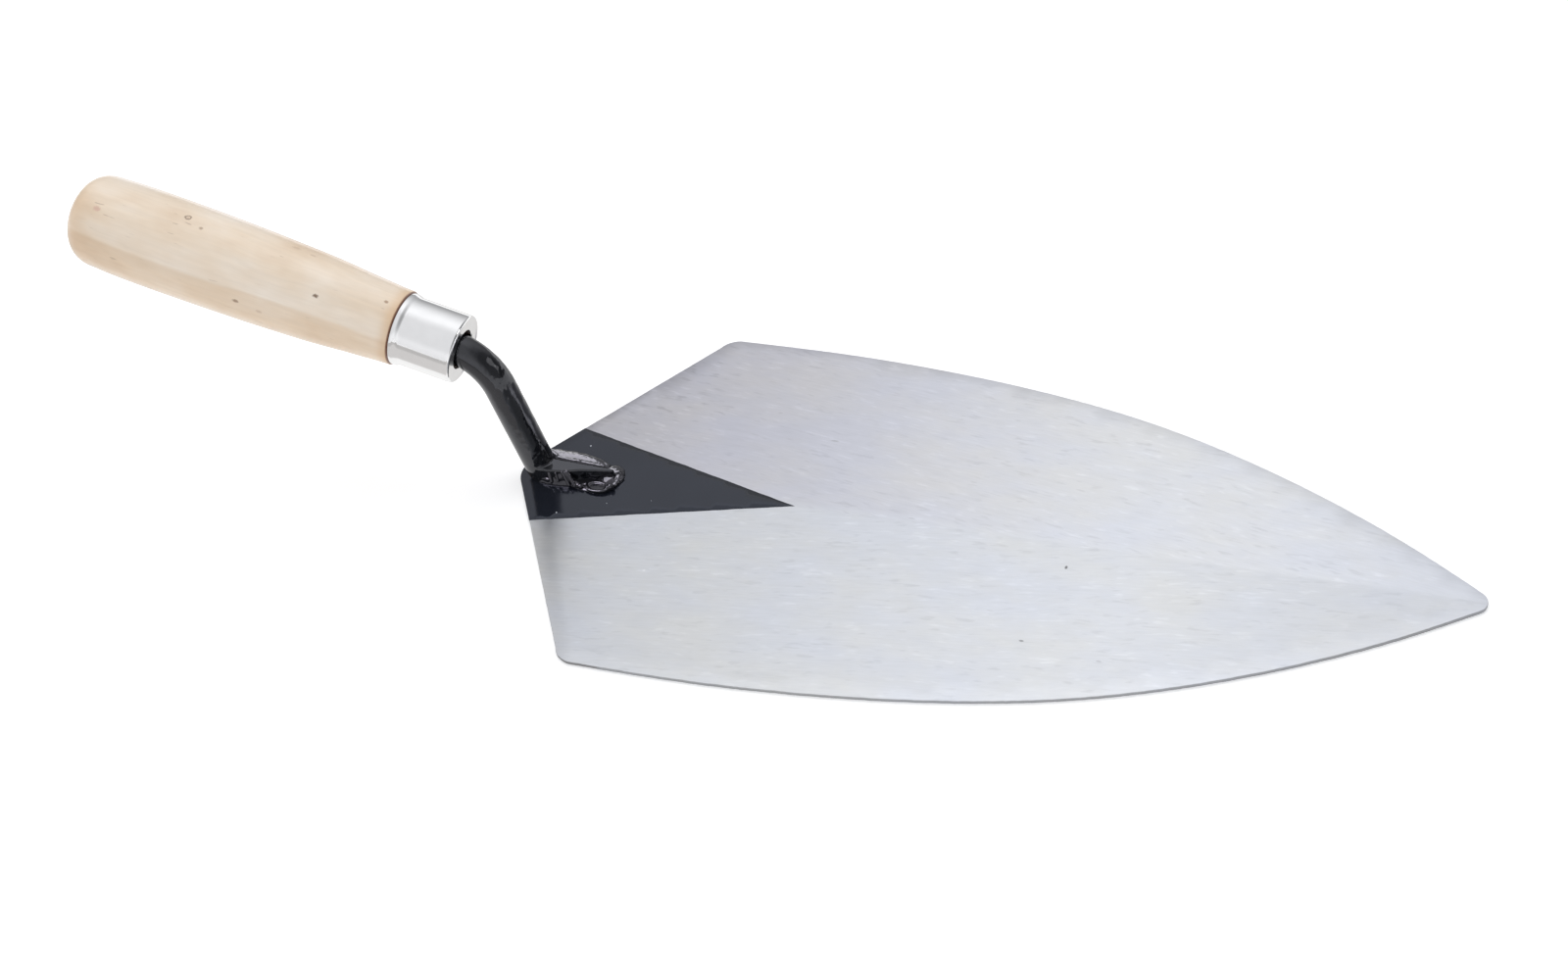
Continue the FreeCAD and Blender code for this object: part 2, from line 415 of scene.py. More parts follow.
MARKS = [(171.5, -8.8, 0.45, 0.75, 0.16, 0.85), (165.9, -37.3, 0.75, 0.38, 0.25, 0.75),
         (55.8, -33.3, 0.55, 0.45, 0.98, 0.6), (92.9, 29.2, 1.5, 0.40, 0.45, 0.5),
         (124.8, 1.6, 1.1, 0.30, 0.55, 0.4), (186.9, -40.1, 0.9, 0.30, 0.45, 0.45),
         (72.4, 38.5, 0.8, 0.30, 0.50, 0.4), (155.2, -28.5, 1.2, 0.25, 0.60, 0.35),
         (210.0, 12.0, 0.9, 0.28, 0.60, 0.35), (128.0, 47.0, 1.0, 0.28, 0.55, 0.3)]


def mat_blade():
    m = Mat("ground_steel")
    x, y, z = m.xyz(m.pos)
    # position in the blade's own frame, heel at 0
    xb = m.math("SUBTRACT", x, SX / 1000.0)
    # each half was ground along its own edge, so the grain turns at the middle line
    side = m.math("SIGN", y)
    ay = m.math("ABSOLUTE", y)
    lng = m.math("SUBTRACT", m.math("MULTIPLY", xb, 0.990), m.math("MULTIPLY", ay, 0.141))
    crs = m.math("MULTIPLY", m.math("ADD", m.math("MULTIPLY", xb, 0.141), m.math("MULTIPLY", ay, 0.990)), side)
    wob = m.math("MULTIPLY", m.math("SUBTRACT", m.noise(m.pos, 18.0, 2.0), 0.5), 0.004)
    crs = m.math("ADD", crs, wob)
    g = m.comb(m.math("MULTIPLY", lng, 0.055), crs, m.math("MULTIPLY", z, 0.3))
    fine = m.noise(g, 1900.0, 2.0, 0.6)
    g2 = m.comb(m.math("MULTIPLY", lng, 0.22), crs, 0.37)
    mid = m.noise(g2, 620.0, 3.0, 0.55)
    g3 = m.comb(m.math("MULTIPLY", lng, 0.25), crs, 0.81)
    fleck = m.noise(g3, 760.0, 1.5, 0.5)
    cloud = m.noise(m.comb(m.math("MULTIPLY", xb, 0.6), y, 0.1), 46.0, 4.0, 0.6)
    blotch = m.noise(m.comb(m.math("MULTIPLY", xb, 0.7), y, 0.4), 150.0, 2.0, 0.5)
    # colour: nearly neutral, with painted reflection: towards the heel the far half is painted darker and a little
    # lilac
    far = m.math("MULTIPLY",
                 m.range(y, -0.002, 0.004, 0.0, 1.0, True),
                 m.range(xb, 0.02, 0.20, 1.0, 0.12, True))
    base = m.mix(far, (0.835, 0.850, 0.872), (0.735, 0.728, 0.778))
    # painted reflection: each half is painted lighter and darker along its length, following the room it reflects
    t = m.math("MULTIPLY", xb, 1.0 / 0.2794)
    near_reflection_ramp = m.ramp(t, [(0.0, 0.86), (0.11, 0.885), (0.29, 0.915), (0.54, 0.955), (0.68, 0.965), (0.86, 0.885), (1.0, 0.82)])
    far_reflection_ramp = m.ramp(t, [(0.0, 0.78), (0.07, 0.81), (0.18, 0.90), (0.29, 0.925), (0.47, 0.975), (0.65, 1.0), (0.83, 0.98), (1.0, 0.90)])
    base = m.mix(1.0, base, m.mix(m.range(y, -0.0012, 0.0012, 0.0, 1.0, True), near_reflection_ramp, far_reflection_ramp), "MULTIPLY")
    tint = m.mix(m.range(cloud, 0.35, 0.65, 0.0, 1.0), (0.975, 0.985, 1.02), (1.02, 1.01, 0.985))
    base = m.mix(1.0, base, tint, "MULTIPLY")
    st = m.math("ADD", m.range(fine, 0.25, 0.75, -0.025, 0.025), m.range(mid, 0.25, 0.75, -0.022, 0.022))
    # short bright and dark dashes left by the belt, stronger in patches
    dash = m.math("SUBTRACT", m.range(fleck, 0.60, 0.72, 0.0, 0.065), m.range(fleck, 0.40, 0.29, 0.0, 0.075))
    patch = m.range(blotch, 0.35, 0.62, 0.25, 1.25)
    heel_far = m.math("MULTIPLY", m.range(y, 0.010, 0.022, 0.0, 1.0, True), m.range(xb, 0.03, 0.07, 1.0, 0.0, True))
    dash = m.math("MULTIPLY", dash, m.math("ADD", patch, heel_far))
    st = m.math("ADD", st, dash)
    st = m.math("ADD", st, m.range(blotch, 0.3, 0.7, -0.012, 0.012))
    stv = m.math("ADD", 1.0, st)
    base = m.mix(1.0, base, m.comb(stv, stv, stv), "MULTIPLY")
    # painted shade: the blade's thin side wall is painted near black
    wall = m.math("MULTIPLY", m.range(z, 0.00102, 0.00116, 1.0, 0.0), m.range(z, 0.00004, 0.00018, 0.0, 1.0))
    base = m.mix(m.math("MULTIPLY", wall, 0.66), base, (0.10, 0.10, 0.105))
    # a few nicks and pits: place, half length, half width (mm), shade, strength
    for px, py, lx, ly, col, k in MARKS:
        dx = m.math("MULTIPLY", m.math("SUBTRACT", xb, px / 1000.0), 1000.0 / lx)
        dy = m.math("MULTIPLY", m.math("SUBTRACT", y, py / 1000.0), 1000.0 / ly)
        d = m.vmath("LENGTH", m.comb(dx, dy, 0.0))
        base = m.mix(m.range(d, 0.45, 1.15, k, 0.0, True), base, (col, col, col * 1.03))
    m.link(base, m.b.inputs["Base Color"])
    m.set(Metallic=1.0, Anisotropic=0.45)
    r = m.math("ADD", 0.36, m.math("MULTIPLY", m.math("SUBTRACT", fine, 0.5), 0.12))
    r = m.math("ADD", r, m.math("MULTIPLY", m.math("SUBTRACT", cloud, 0.5), 0.10))
    m.link(r, m.b.inputs["Roughness"])
    tg = m.node("ShaderNodeTangent", direction_type="UV_MAP", uv_map="grind")
    m.link(tg.outputs[0], m.b.inputs["Tangent"])
    h = m.math("ADD", m.math("MULTIPLY", fine, 0.5), mid)
    m.link(m.bump(h, 0.16, 0.00002), m.b.inputs["Normal"])
    return m.m


def mat_enamel(name, rough, lo, hi, ior, orange=0.25, tint=(1.0, 1.0, 1.0)):
    m = Mat(name)
    m.set(Specular_Tint=(*tint, 1.0))
    n1 = m.noise(m.pos, 260.0, 3.0, 0.55)
    n2 = m.noise(m.pos, 1500.0, 2.0, 0.5)
    n3 = m.noise(m.pos, 60.0, 2.0, 0.5)
    base = m.mix(m.range(n3, 0.35, 0.65, 0.0, 1.0), lo, hi)
    m.link(base, m.b.inputs["Base Color"])
    m.set(Metallic=0.0, IOR=ior)
    r = m.math("ADD", rough, m.math("MULTIPLY", m.math("SUBTRACT", n1, 0.5), 0.06))
    m.link(r, m.b.inputs["Roughness"])
    h = m.math("ADD", n1, m.math("MULTIPLY", n2, 0.15))
    m.link(m.bump(h, orange, 0.00006), m.b.inputs["Normal"])
    return m


def mat_nickel():
    m = Mat("nickel_plate")
    n1 = m.noise(m.pos, 420.0, 3.0, 0.5)
    n2 = m.noise(m.pos, 2600.0, 2.0, 0.5)
    base = m.mix(m.range(n1, 0.35, 0.65, 0.0, 1.0), (0.842, 0.838, 0.836), (0.862, 0.858, 0.856))
    m.link(base, m.b.inputs["Base Color"])
    m.set(Metallic=1.0)
    m.link(m.math("ADD", 0.10, m.math("MULTIPLY", m.math("SUBTRACT", n1, 0.5), 0.05)), m.b.inputs["Roughness"])
    m.link(m.bump(m.math("ADD", n1, m.math("MULTIPLY", n2, 0.2)), 0.03, 0.00002), m.b.inputs["Normal"])
    return m.m


def mat_wood():
    m = Mat("lacquered_birch")
    # handle frame: u along the axis (metres behind the rim), v and w across it
    p = m.vmath("SUBTRACT", m.pos, tuple(to_frame(RIM)))
    u = m.math("MULTIPLY", m.vmath("DOT_PRODUCT", p, tuple(AX)), -1.0)
    w = m.vmath("DOT_PRODUCT", p, tuple(UP))
    _, v, _ = m.xyz(p)
    warp = m.math("MULTIPLY", m.math("SUBTRACT", m.noise(m.comb(m.math("MULTIPLY", u, 0.35), v, w), 60.0, 2.0), 0.5), 0.006)
    v2 = m.math("ADD", v, warp)
    grain = m.comb(m.math("MULTIPLY", u, 0.05), v2, w)
    g1 = m.noise(grain, 900.0, 3.0, 0.6)
    g2 = m.noise(m.comb(m.math("MULTIPLY", u, 0.09), v2, w), 220.0, 3.0, 0.55)
    cloud = m.noise(m.comb(m.math("MULTIPLY", u, 0.5), v, w), 75.0, 3.0, 0.55)
    pores = m.noise(m.comb(m.math("MULTIPLY", u, 0.12), v, w), 1600.0, 1.0, 0.5)
    c = m.ramp(cloud, [(0.28, (0.735, 0.570, 0.410)), (0.48, (0.822, 0.684, 0.534)), (0.72, (0.875, 0.775, 0.660))])
    s = m.math("ADD", m.range(g1, 0.3, 0.7, -0.030, 0.030), m.range(g2, 0.3, 0.7, -0.026, 0.026))
    s = m.math("ADD", 1.0, s)
    c = m.mix(1.0, c, m.comb(s, s, s), "MULTIPLY")
    # warmer, thicker lacquer at the butt and where it pooled against the ferrule
    warm = m.math("MAXIMUM", m.range(u, 0.0002, 0.0042, 0.80, 0.0, True), m.range(u, 0.092, 0.107, 0.0, 0.55, True))
    wn = m.math("MULTIPLY", warm, m.range(cloud, 0.3, 0.7, 1.0, 0.6))
    c = m.mix(wn, c, (0.700, 0.470, 0.270))
    c = m.mix(m.range(u, 0.00012, 0.00042, 0.92, 0.0, True), c, (0.200, 0.070, 0.030))
    # painted shade: a browner, darker band runs along the lower near side
    low = m.math("ADD", m.math("MULTIPLY", v, -0.62), m.math("MULTIPLY", w, -0.78))
    edge = m.math("MULTIPLY", m.math("SUBTRACT", g2, 0.5), 0.004)
    low_side_painted_shade = m.range(m.math("ADD", low, edge), 0.0030, 0.0046, 0.0, 0.75, True)
    c = m.mix(low_side_painted_shade, c, m.mix(1.0, c, (0.885, 0.810, 0.720), "MULTIPLY"))
    # dark pore flecks
    pf = m.math("MULTIPLY", m.range(pores, 0.735, 0.78, 0.0, 0.5), m.range(cloud, 0.4, 0.6, 1.0, 0.2))
    c = m.mix(pf, c, (0.30, 0.19, 0.12))
    c_out = c
    return m, c_out, u, v, w


def spots(m, c, plist, u, v, w):
    """Small knots and flecks: (u, angle, radius, ring, length ratio, colour, strength), mm and degrees."""
    for su, sv, sw, r, ring, ratio, col, st in plist:
        du = m.math("MULTIPLY", m.math("SUBTRACT", u, su / 1000.0), 1.0 / ratio)
        d = m.comb(du, m.math("SUBTRACT", v, sv / 1000.0), m.math("SUBTRACT", w, sw / 1000.0))
        ln = m.vmath("LENGTH", d)
        nz = m.math("MULTIPLY", m.math("SUBTRACT", m.noise(m.pos, 2200.0, 1.0), 0.5), r / 1000.0 * 0.9)
        ln = m.math("ADD", ln, nz)
        if ring:
            f = m.math("SUBTRACT", 1.0, m.math("ABSOLUTE", m.range(ln, r * 0.45 / 1000.0, r * 1.35 / 1000.0, -1.0, 1.0)), clamp=True)
        else:
            f = m.range(ln, r * 0.4 / 1000.0, r * 1.2 / 1000.0, 1.0, 0.0, True)
        c = m.mix(m.math("MULTIPLY", f, st), c, col)
    return c


# ---------------------------------------------------------------------------
# blade
# ---------------------------------------------------------------------------
AL = math.atan2(1.0, HEEL_SLOPE)        # heel edges' angle from the middle line
EDGE = 0.25


def corner_centre(curve, rng, r, gap):
    """Where a circle of radius r touches the curve from inside and gap(centre) is 0."""
    best = None
    for i in rng:
        t = curve[i + 1] - curve[i - 1]
        t = t / math.hypot(t[0], t[1])
        inward = np.array([t[1], -t[0]])
        c = curve[i] + inward * r
        e = abs(gap(c))
        if best is None or e < best[0]:
            best = (e, i, c)
    return best[1], best[2]


def blade_half():
    """Left half of the outline, heel point to tip, both on the middle line."""
    curve = cubic([(CORNER_X, CORNER_X / HEEL_SLOPE)] + SIDE + [(TIP_X, 0.0)], 40)
    n = np.array([-math.sin(AL), math.cos(AL)])
    d = np.array([math.cos(AL), math.sin(AL)])
    r0, r1, r2 = 9.5, 7.0, 4.0
    c0 = r0 / math.sin(AL)
    pts = []
    for i in range(13):
        a = math.pi - (math.pi / 2 - AL) * i / 12.0
        pts.append((c0 + r0 * math.cos(a), r0 * math.sin(a)))
    i1, c1 = corner_centre(curve, range(1, 60), r1, lambda c: -(c @ n) - r1)
    th = c1 + n * r1
    L0, L1 = c0 * math.cos(AL), float(th @ d)
    k = int((L1 - L0) / 1.0)
    for i in range(1, k):
        pts.append(tuple(d * (L0 + (L1 - L0) * i / k)))
    a0 = math.atan2(th[1] - c1[1], th[0] - c1[0])
    a1 = math.atan2(curve[i1][1] - c1[1], curve[i1][0] - c1[0])
    for i in range(15):
        a = a0 + (a1 - a0) * i / 14.0
        pts.append((c1[0] + r1 * math.cos(a), c1[1] + r1 * math.sin(a)))
    i2, c2 = corner_centre(curve, range(len(curve) - 80, len(curve) - 1), r2, lambda c: c[1])
    for i in range(i1 + 2, i2 - 1, 2):
        pts.append(tuple(curve[i]))
    a0 = math.atan2(curve[i2][1], curve[i2][0] - c2[0])
    for i in range(9):
        a = a0 * (1 - i / 8.0)
        pts.append((c2[0] + r2 * math.cos(a), r2 * math.sin(a)))
    P = np.array(pts)
    P[0, 1] = 0.0
    P[-1, 1] = 0.0
    return P


def blade_loop():
    """Whole outline, counter-clockwise seen from above, with outward normals."""
    P = blade_half()
    full = np.r_[P, np.c_[P[1:-1, 0], -P[1:-1, 1]][::-1]][::-1]
    t = np.roll(full, -1, 0) - np.roll(full, 1, 0)
    t /= np.hypot(t[:, 0], t[:, 1])[:, None]
    return full, np.c_[t[:, 1], -t[:, 0]]


def fill(loop, extra, chains=()):
    """Triangles of a 2-D polygon with extra points and chains kept as edges."""
    pts = [Vector((float(p[0]), float(p[1]))) for p in loop]
    face = [list(range(len(pts)))]
    edges = []
    for ch in chains:
        ids = []
        for p in ch:
            if isinstance(p, (int, np.integer)):
                ids.append(int(p))
            else:
                ids.append(len(pts))
                pts.append(Vector((float(p[0]), float(p[1]))))
        edges += list(zip(ids[:-1], ids[1:]))
    for p in extra:
        pts.append(Vector((float(p[0]), float(p[1]))))
    V, _, F, ov, _, _ = delaunay_2d_cdt(pts, edges, face, 1, 1e-5)
    where = {}
    for o, src_ids in enumerate(ov):
        for s in src_ids:
            where[s] = o
    V = np.array([[v.x, v.y] for v in V])
    tris = []
    for f in F:
        a, b, c = V[f[0]], V[f[1]], V[f[2]]
        s = (b[0] - a[0]) * (c[1] - a[1]) - (b[1] - a[1]) * (c[0] - a[0])
        tris.append(tuple(f) if s > 0 else tuple(reversed(f)))
    return V, tris, where


def inside_poly(P, poly):
    x, y = P[:, 0], P[:, 1]
    r = np.zeros(len(P), bool)
    j = len(poly) - 1
    for i in range(len(poly)):
        xi, yi = poly[i]
        xj, yj = poly[j]
        if yi != yj:
            r ^= ((yi > y) != (yj > y)) & (x < (xj - xi) * (y - yi) / (yj - yi) + xi)
        j = i
    return r


def dist_poly(P, poly):
    d = np.full(len(P), 1e9)
    for i in range(len(poly)):
        a, b = poly[i], poly[(i + 1) % len(poly)]
        ab = b - a
        t = np.clip(((P - a) @ ab) / max(float(ab @ ab), 1e-12), 0, 1)
        q = P - a - t[:, None] * ab
        d = np.minimum(d, np.hypot(q[:, 0], q[:, 1]))
    return d


def lattice(poly, step, gap, keep_off_axis=2.0):
    x0, y0 = poly.min(0)
    x1, y1 = poly.max(0)
    gx, gy = np.meshgrid(np.arange(x0, x1, step), np.arange(y0, y1, step * 0.87))
    gx = gx + (np.arange(gx.shape[0])[:, None] % 2) * step / 2
    G = np.c_[gx.ravel(), gy.ravel()]
    G = G[inside_poly(G, poly)]
    G = G[dist_poly(G, poly) > gap]
    return G[np.abs(G[:, 1]) > keep_off_axis]


RIM_STEPS = ([(-EDGE + EDGE * math.sin(t), TH - EDGE + EDGE * math.cos(t)) for t in (0, 0.5236, 1.0472, 1.5708)]
             + [(-EDGE + EDGE * math.sin(t), EDGE - EDGE * math.cos(t)) for t in (1.5708, 1.0472, 0.5236, 0)])


def nick(P):
    """Tiny unevenness of the ground edge, mm."""
    return 0.05 * vnoise(P[:, 0] * 0.55, P[:, 1] * 0.55, 0.3, 11) + 0.03 * vnoise(P[:, 0] * 1.7, P[:, 1] * 1.7, 0.9, 12)


def build_blade():
    out, nrm = blade_loop()
    n = len(out)
    wob = nick(out) - 0.05
    rings = []
    for k, (o, z) in enumerate(RIM_STEPS):
        q = out + nrm * (o + wob)[:, None] if 0 < k < 7 else out + nrm * (o - 0.05)
        rings.append(np.c_[q, np.full(n, z)])
    inner = rings[0][:, :2]
    tip = int(np.argmax(inner[:, 0]))
    heel = int(np.argmin(inner[:, 0]))
    mid = [(x, 0.0) for x in np.arange(inner[heel, 0] + 4, inner[tip, 0] - 3, 4.0)]
    V2, tris, where = fill(inner, lattice(inner, 6.0, 2.5), [[heel] + mid + [tip]])
    verts = [np.c_[V2, np.full(len(V2), TH)], np.c_[V2, np.zeros(len(V2))]]
    nb = len(V2)
    faces = [t for t in tris] + [tuple(nb + i for i in reversed(t)) for t in tris]
    base = 2 * nb
    ids = [[where[i] for i in range(n)]]
    for k in range(1, 7):
        verts.append(rings[k])
        ids.append([base + i for i in range(n)])
        base += n
    ids.append([nb + where[i] for i in range(n)])
    for k in range(7):
        for i in range(n):
            j = (i + 1) % n
            faces.append((ids[k][i], ids[k + 1][i], ids[k + 1][j], ids[k][j]))
    o = mesh_object("blade_ground", np.concatenate(verts), faces, sharp=25)
    me = o.data
    uv = me.uv_layers.new(name="grind")
    co = np.empty(len(me.vertices) * 3, np.float32)
    me.vertices.foreach_get("co", co)
    co = co.reshape(-1, 3)
    data = np.zeros((len(me.loops), 2), np.float32)
    for p in me.polygons:
        cy = p.center[1]
        s = 0.13 if cy < 0 else -0.15
        L = math.hypot(1.0, s)
        for li in p.loop_indices:
            v = co[me.loops[li].vertex_index]
            # u runs across the grinding marks, v along them
            data[li] = ((-s * v[0] + v[1]) / L * 4 + 0.5, (v[0] + s * v[1]) / L * 4 + 0.5)
    uv.data.foreach_set("uv", data.ravel())
    return o


TRI_Y0, TRI_K = 24.62, 0.2738           # edge of the paint: |y| = TRI_Y0 - TRI_K x


def build_paint():
    """Film of enamel on the heel: top face, over the edge and down its side."""
    out, nrm = blade_loop()
    n = len(out)
    f = np.abs(out[:, 1]) - (TRI_Y0 - TRI_K * out[:, 0])
    near = (out[:, 0] < 30) & (f < 0)
    heel = int(np.argmin(out[:, 0]))
    a = heel
    while near[(a - 1) % n]:
        a = (a - 1) % n
    b = heel
    while near[(b + 1) % n]:
        b = (b + 1) % n
    seq = [i % n for i in range(a, b + 1 if b >= a else b + n + 1)]

    def cross(i, j):
        t = f[i] / (f[i] - f[j])
        return out[i] + (out[j] - out[i]) * t, nrm[i]
    p0, n0 = cross(seq[0], (seq[0] - 1) % n)
    p1, n1 = cross(seq[-1], (seq[-1] + 1) % n)
    L = np.array([p0] + [out[i] for i in seq] + [p1])
    N = np.array([n0] + [nrm[i] for i in seq] + [n1])
    steps = RIM_STEPS[:4] + [(0.0, 0.45)]
    rings = [np.c_[L + N * (o - 0.02), np.full(len(L), z)] for o, z in steps]
    inner = rings[0][:, :2]
    # edge of the film: from the end of the heel run to the point, and back
    apex = np.array([TRI_Y0 / TRI_K, 0.0])
    m = 70

    def side(p, q, seed):
        t = np.linspace(0, 1, m)[1:-1]
        d = (q - p) / np.hypot(*(q - p))
        w = 0.10 * vnoise(t * 26, seed, 0.5, 5) + 0.06 * vnoise(t * 75, seed, 0.5, 6)
        w *= np.minimum(1, np.minimum(t, 1 - t) * 20)
        return p + (q - p) * t[:, None] + np.outer(w, (-d[1], d[0]))
    lineA = side(inner[-1], apex, 1.3)
    lineB = side(apex, inner[0], 7.7)
    poly = np.r_[inner, lineA, [apex], lineB]
    V2, tris, where = fill(poly, lattice(poly, 3.0, 1.2, 0.0))
    verts = [np.c_[V2, np.full(len(V2), TH)]]
    faces = list(tris)
    ids = [[where[i] for i in range(len(L))]]
    base = len(V2)
    for r in rings[1:]:
        verts.append(r)
        ids.append([base + i for i in range(len(r))])
        base += len(r)
    for k in range(len(rings) - 1):
        for i in range(len(L) - 1):
            faces.append((ids[k][i], ids[k + 1][i], ids[k + 1][i + 1], ids[k][i + 1]))
    o = mesh_object("heel_enamel_open", np.concatenate(verts), faces, sharp=40)
    s = o.modifiers.new("film", "SOLIDIFY")
    s.thickness = 0.00010
    s.offset = -0.1
    s.use_even_offset = True
    me = bpy.data.meshes.new_from_object(o.evaluated_get(bpy.context.evaluated_depsgraph_get()))
    me.name = "heel_enamel"
    old = o.data
    bpy.data.objects.remove(o)
    bpy.data.meshes.remove(old)
    o = bpy.data.objects.new("heel_enamel", me)
    COLL.objects.link(o)
    return o


# ---------------------------------------------------------------------------
# shank: one bar, with its tang, bend and forged foot, as one skin
# ---------------------------------------------------------------------------
PHI0, PHI1 = TILT, TILT + NECK_T
START = RIM + AX * NECK_A
BC = START - UP * NECK_R
BEND_END = BC + np.array([math.sin(PHI1), 0, math.cos(PHI1)]) * NECK_R
LOW = np.array([math.cos(PHI1), 0, -math.sin(PHI1)])
FOOT_X = BEND_END[0] + LOW[0] * (BEND_END[2] - TH) / math.sin(PHI1)


def bar_field(x, y, z):
    """Round bar along tang, neck and lower run."""
    qx, qz = x - RIM[0], z - RIM[2]
    a = qx * AX[0] + qz * AX[2]
    w = qx * UP[0] + qz * UP[2]
    rad = np.interp(a, [-66.0, -64.0, -8.0, 0.0], [0.8, 2.4, BAR_R, BAR_R])
    # tang and neck, straight part
    ca = np.clip(a, -66.0, NECK_A)
    slope = 0.9991
    d1 = (np.sqrt(y * y + w * w) - rad) * slope
    d1 = np.where(a < -66.0, np.sqrt((a + 66.0) ** 2 + np.maximum(np.sqrt(y * y + w * w) - rad, 0) ** 2), d1)
    d1 = np.where(a > NECK_A, 1e3, d1)
    # bend
    bx, bz = x - BC[0], z - BC[2]
    ang = np.arctan2(bx, bz)
    rb = np.sqrt(bx * bx + bz * bz)
    d2 = np.sqrt(y * y + (rb - NECK_R) ** 2) - BAR_R
    d2 = np.where((ang >= PHI0) & (ang <= PHI1), d2, 1e3)
    # lower run
    lx, lz = x - BEND_END[0], z - BEND_END[2]
    s = lx * LOW[0] + lz * LOW[2]
    p = lx * LOW[2] - lz * LOW[0]
    d3 = np.sqrt(y * y + p * p) - BAR_R
    d3 = np.where(s >= 0, d3, 1e3)
    return np.minimum(np.minimum(d1, d2), d3)


def box2(u, v, hu, hv, r):
    du, dv = np.abs(u) - hu + r, np.abs(v) - hv + r
    return np.minimum(np.maximum(du, dv), 0) + np.sqrt(np.maximum(du, 0) ** 2 + np.maximum(dv, 0) ** 2) - r


def capsule(x, y, z, a, b, r0, r1=None):
    a, b = np.array(a, float), np.array(b, float)
    ab = b - a
    t = np.clip(((x - a[0]) * ab[0] + (y - a[1]) * ab[1] + (z - a[2]) * ab[2]) / (ab @ ab), 0, 1)
    d = np.sqrt((x - a[0] - t * ab[0]) ** 2 + (y - a[1] - t * ab[1]) ** 2 + (z - a[2] - t * ab[2]) ** 2)
    return d - (r0 if r1 is None else r0 + (r1 - r0) * t)


def ellipsoid(x, y, z, c, r, turn=0.0):
    ct, st = math.cos(math.radians(turn)), math.sin(math.radians(turn))
    dx, dy, dz = x - c[0], y - c[1], z - c[2]
    u, v = dx * ct + dy * st, -dx * st + dy * ct
    k0 = np.sqrt((u / r[0]) ** 2 + (v / r[1]) ** 2 + (dz / r[2]) ** 2) + 1e-9
    k1 = np.sqrt((u / r[0] ** 2) ** 2 + (v / r[1] ** 2) ** 2 + (dz / r[2] ** 2) ** 2) + 1e-9
    return k0 * (k0 - 1.0) / k1


def foot_field(x, y, zt):
    """Forged tongue: its top falls to the toe and its near side was beaten back."""
    t = np.clip((x - 9.0) / 24.0, 0, 1)
    top = 5.35 - 1.25 * t
    d_top = (zt - top) * 0.998
    # far side, under the left bead
    d_far = (y - (1.00 - 0.10 * t)) * 0.99
    # near side leans outwards to the blade and closes towards the toe
    yn = np.interp(x, [9, 13.5, 18.2, 22.3, 26.1, 30.1, 33.0], [-4.5, -4.35, -3.45, -1.95, -1.05, -0.35, 0.3])
    lean = np.interp(x, [9, 18, 25, 33], [0.05, 0.14, 0.12, 0.08])
    d_near = (yn - lean * (4.6 - zt) - y) * 0.97
    # toe
    rt = 3.4
    cx, cy = 33.0 - rt, 1.1
    d_toe = np.sqrt(np.maximum(x - cx, 0) ** 2 + (y - cy) ** 2 * 0.9) - rt - 0.10 * (4.1 - zt)
    d_toe = np.where(x > cx, d_toe, -4.0)
    d = smax(d_far, d_near, 0.7)
    d = smax(d, d_toe, 0.8)
    d = smax(d, d_top, 0.50)
    d = np.maximum(d, -(zt + 0.02))
    return np.maximum(d, 8.0 - x)


def shank_field(x, y, z):
    zt = z - TH
    bar = bar_field(x, y, z)
    # the bar's outside is rolled forward where it lands on the blade
    back = FOOT_X - BAR_R
    r = 4.0
    roll = np.sqrt((x - back - r) ** 2 + (zt - r) ** 2) - r
    roll = np.where((x < back + r) & (zt < r), roll, -1e3)
    bar = smax(bar, roll, 0.5)
    bar = np.maximum(bar, -(zt + 0.02))
    # hammer marks on the front and in the bend
    on_run = np.clip((x + 6.0) / 4.0, 0, 1)
    front = np.clip((x - (FOOT_X - zt * 0.19) + 1.0) / 3.0, 0, 1)
    rough = vnoise(x * 0.85, y * 0.85, z * 0.5, 3) * 0.055 + vnoise(x * 1.9, y * 1.9, z * 1.3, 4) * 0.022
    bar = bar + rough * (0.20 + 0.8 * front) * on_run
    foot = foot_field(x, y, zt) + 0.02 * vnoise(x * 0.9, y * 0.9, z * 0.9, 8)
    f = smin(bar, foot, 0.55)
    return f


def build_shank():
    P, Q = surface_nets(shank_field, (-92.0, -5.6, TH - 0.4), (34.4, 5.6, 75.0), 0.30)
    return mesh_object("shank_forged", P, Q)


# ---------------------------------------------------------------------------
# weld metal
# ---------------------------------------------------------------------------
def ripple(x, y, z, seed):
    return 0.05 * vnoise(x * 0.9, y * 0.9, z * 0.9, seed) + 0.03 * vnoise(x * 2.3, y * 2.3, z * 2.3, seed + 1)


